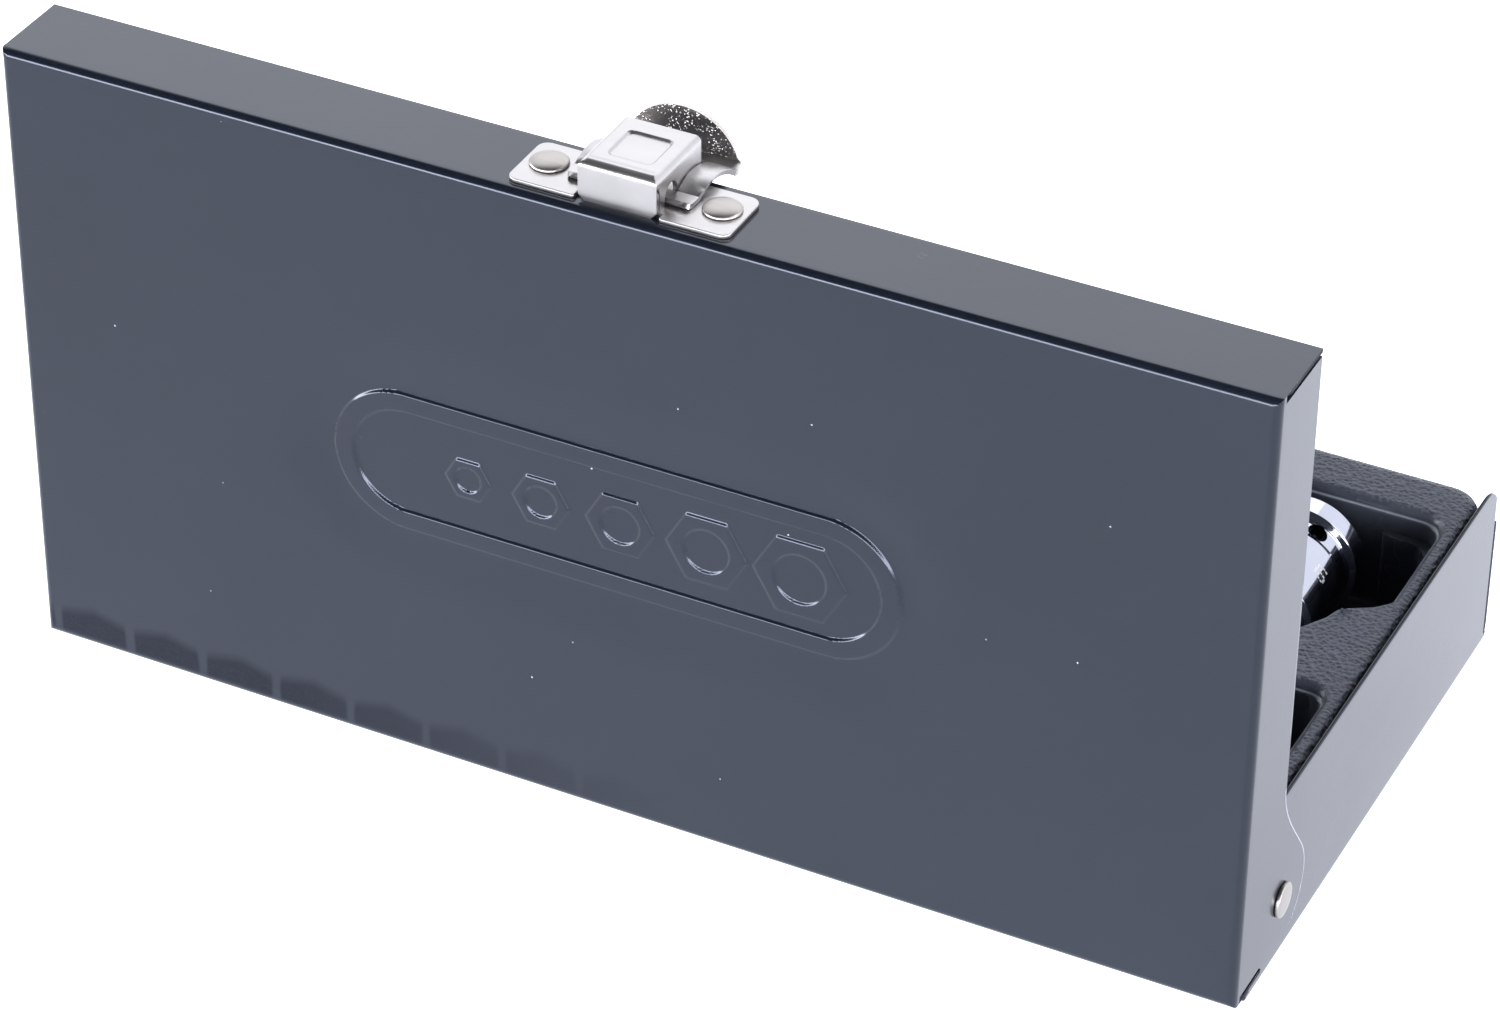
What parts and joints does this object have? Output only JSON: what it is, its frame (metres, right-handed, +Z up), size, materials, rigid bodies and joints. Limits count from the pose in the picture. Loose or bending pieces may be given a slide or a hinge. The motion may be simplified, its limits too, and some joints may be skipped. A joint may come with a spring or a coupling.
{
  "type": "socket wrench set in case",
  "caption": "Folded sheet-steel case standing open, with a snap latch, hinge rivets and a moulded tray of square-drive sockets, ratchet, extension and universal joint.",
  "frame": {"origin": "centre of the case's underside", "axes": "+Z up, +Y towards the hinge, -Y towards the latch's strike, X along the case's length"},
  "size_m": [0.2522, 0.1413, 0.148],
  "materials": {
    "painted_steel": "satin slate-blue paint",
    "nickel": "bright nickel plate",
    "chrome": "polished chrome plate",
    "tool_steel": "ground steel",
    "tray_plastic": "grained vacuum-formed plastic",
    "grip_rubber": "moulded black rubber"
  },
  "bodies": {
    "base": {"base_shell": "painted_steel", "hinge_rivets": "nickel", "strike_plate": "nickel", "strike_rivets": "nickel", "tool_tray": "tray_plastic"},
    "lid": {"lid_shell": "painted_steel", "latch_plate": "nickel", "latch_rivets": "nickel", "latch_hood": "nickel", "latch_spring": "nickel"},
    "latch_lever": {"latch_lever": "nickel"},
    "ratchet": {"ratchet_body": "chrome", "ratchet_cover": "chrome", "cover_screws": "tool_steel", "handle_grip": "grip_rubber"},
    "ratchet_wheel": {"ratchet_gear": "chrome"},
    "ratchet_ball": {"drive_ball": "tool_steel"},
    "reversing_lever": {"reversing_lever": "chrome"},
    "ratchet_pawl": {"ratchet_pawl": "tool_steel"},
    "extension": {"extension_bar": "chrome"},
    "extension_ball": {"extension_ball": "tool_steel"},
    "universal_joint": {"joint_socket_fork": "chrome", "joint_long_pin": "tool_steel"},
    "universal_cross": {"joint_cross": "tool_steel"},
    "universal_drive_end": {"joint_drive_fork": "chrome", "joint_short_pins": "tool_steel"},
    "universal_ball": {"joint_ball": "tool_steel"},
    "socket_16mm": {"socket_16mm": "chrome"},
    "socket_15mm": {"socket_15mm": "chrome"},
    "socket_14mm": {"socket_14mm": "chrome"},
    "socket_13mm": {"socket_13mm": "chrome"},
    "socket_12mm": {"socket_12mm": "chrome"},
    "socket_11mm": {"socket_11mm": "chrome"},
    "socket_10mm": {"socket_10mm": "chrome"},
    "socket_9mm": {"socket_9mm": "chrome"},
    "socket_8mm": {"socket_8mm": "chrome"},
    "socket_7mm": {"socket_7mm": "chrome"},
    "socket_6mm": {"socket_6mm": "chrome"}
  },
  "joints": [
    {"name": "lid_hinge", "type": "hinge", "parent": "base", "child": "lid", "pos_m": [0, 0.0545, 0.02], "axis": [-1, 0, 0], "range_deg": [-90, 0]},
    {"name": "latch_lever_hinge", "type": "hinge", "parent": "lid", "child": "latch_lever", "pos_m": [0, 0.0678, 0.1419], "axis": [-1, 0, 0], "range_deg": [0, 30], "stiffness_Nm_per_rad": 0.05, "springref_deg": -11.46},
    {"name": "ratchet_lift", "type": "slide", "parent": "base", "child": "ratchet", "axis": [0, 0, 1], "range_m": [0, 0.05]},
    {"name": "ratchet_drive_spin", "type": "hinge", "parent": "ratchet", "child": "ratchet_wheel", "pos_m": [0.099, 0.0415, 0.014], "axis": [0, 0, 1], "continuous": true},
    {"name": "ratchet_ball_press", "type": "slide", "parent": "ratchet_wheel", "child": "ratchet_ball", "axis": [1, 0, 0], "range_m": [0, 0.0006], "stiffness_N_per_m": 400, "springref_m": -0.001},
    {"name": "reversing_lever_turn", "type": "hinge", "parent": "ratchet", "child": "reversing_lever", "pos_m": [0.0855, 0.0415, 0.0265], "axis": [0, 0, 1], "range_deg": [0, 40]},
    {"name": "pawl_rock", "type": "hinge", "parent": "ratchet", "child": "ratchet_pawl", "pos_m": [0.0855, 0.0415, 0.02], "axis": [0, 0, 1], "range_deg": [0, 16]},
    {"name": "extension_lift", "type": "slide", "parent": "base", "child": "extension", "axis": [0, 0, 1], "range_m": [0, 0.05]},
    {"name": "extension_ball_press", "type": "slide", "parent": "extension", "child": "extension_ball", "axis": [0, 1, 0], "range_m": [0, 0.0006], "stiffness_N_per_m": 400, "springref_m": -0.001},
    {"name": "universal_lift", "type": "slide", "parent": "base", "child": "universal_joint", "axis": [0, 0, 1], "range_m": [0, 0.05]},
    {"name": "universal_pitch", "type": "hinge", "parent": "universal_joint", "child": "universal_cross", "pos_m": [0.041, 0.0244, 0.0203], "axis": [0, -1, 0], "range_deg": [0, 35]},
    {"name": "universal_yaw", "type": "hinge", "parent": "universal_cross", "child": "universal_drive_end", "pos_m": [0.041, 0.0244, 0.0203], "axis": [0, 0, -1], "range_deg": [0, 23]},
    {"name": "universal_ball_press", "type": "slide", "parent": "universal_drive_end", "child": "universal_ball", "axis": [0, 1, 0], "range_m": [0, 0.0006], "stiffness_N_per_m": 400, "springref_m": -0.001},
    {"name": "socket_16mm_lift", "type": "slide", "parent": "base", "child": "socket_16mm", "axis": [0, 0, 1], "range_m": [0, 0.05]},
    {"name": "socket_15mm_lift", "type": "slide", "parent": "base", "child": "socket_15mm", "axis": [0, 0, 1], "range_m": [0, 0.05]},
    {"name": "socket_14mm_lift", "type": "slide", "parent": "base", "child": "socket_14mm", "axis": [0, 0, 1], "range_m": [0, 0.05]},
    {"name": "socket_13mm_lift", "type": "slide", "parent": "base", "child": "socket_13mm", "axis": [0, 0, 1], "range_m": [0, 0.05]},
    {"name": "socket_12mm_lift", "type": "slide", "parent": "base", "child": "socket_12mm", "axis": [0, 0, 1], "range_m": [0, 0.05]},
    {"name": "socket_11mm_lift", "type": "slide", "parent": "base", "child": "socket_11mm", "axis": [0, 0, 1], "range_m": [0, 0.05]},
    {"name": "socket_10mm_lift", "type": "slide", "parent": "base", "child": "socket_10mm", "axis": [0, 0, 1], "range_m": [0, 0.05]},
    {"name": "socket_9mm_lift", "type": "slide", "parent": "base", "child": "socket_9mm", "axis": [0, 0, 1], "range_m": [0, 0.05]},
    {"name": "socket_8mm_lift", "type": "slide", "parent": "base", "child": "socket_8mm", "axis": [0, 0, 1], "range_m": [0, 0.05]},
    {"name": "socket_7mm_lift", "type": "slide", "parent": "base", "child": "socket_7mm", "axis": [0, 0, 1], "range_m": [0, 0.05]},
    {"name": "socket_6mm_lift", "type": "slide", "parent": "base", "child": "socket_6mm", "axis": [0, 0, 1], "range_m": [0, 0.05]}
  ],
  "couplings": [
    {"joint": "pawl_rock", "follows": "reversing_lever_turn", "ratio": 0.4}
  ]
}
